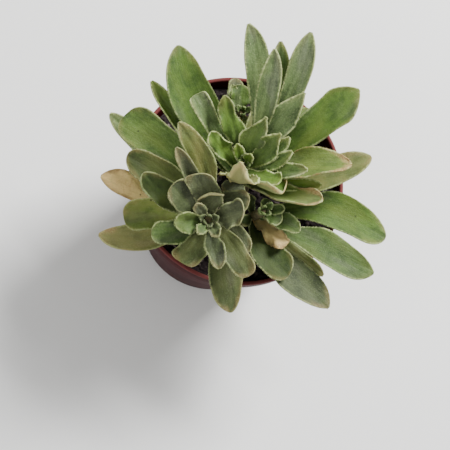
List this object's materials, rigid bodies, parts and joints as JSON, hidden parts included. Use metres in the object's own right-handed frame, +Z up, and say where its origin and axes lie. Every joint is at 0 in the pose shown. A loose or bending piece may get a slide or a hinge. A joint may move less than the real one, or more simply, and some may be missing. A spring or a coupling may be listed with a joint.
{
  "type": "potted succulent",
  "caption": "Round nursery pot of soil with leafy rosettes of pale-edged spoon-shaped succulent leaves on short stems.",
  "frame": {"origin": "middle of the pot's underside, on the surface that the pot stands on", "axes": "+Z up along the pot's axis; +Y towards the tallest leaves; the front rosette leans to -X and -Y"},
  "size_m": [0.1115, 0.0987, 0.125],
  "materials": {
    "pot_plastic": "satin brown moulded plastic",
    "potting_soil": "dark crumbly peat",
    "bark": "rough dark bark",
    "leaf_grey_green": "downy grey-green leaf with pale edges",
    "leaf_green": "downy fresh green leaf with pale edges",
    "leaf_withered": "dry yellow leaf"
  },
  "bodies": {
    "root": {"pot": "pot_plastic", "soil": "potting_soil", "bark_chip": "bark", "rosette_front": "leaf_grey_green", "rosette_back": "leaf_green", "rosette_right": "leaf_green", "rosette_far": "leaf_green", "withered_leaf": "leaf_withered"}
  },
  "joints": []
}
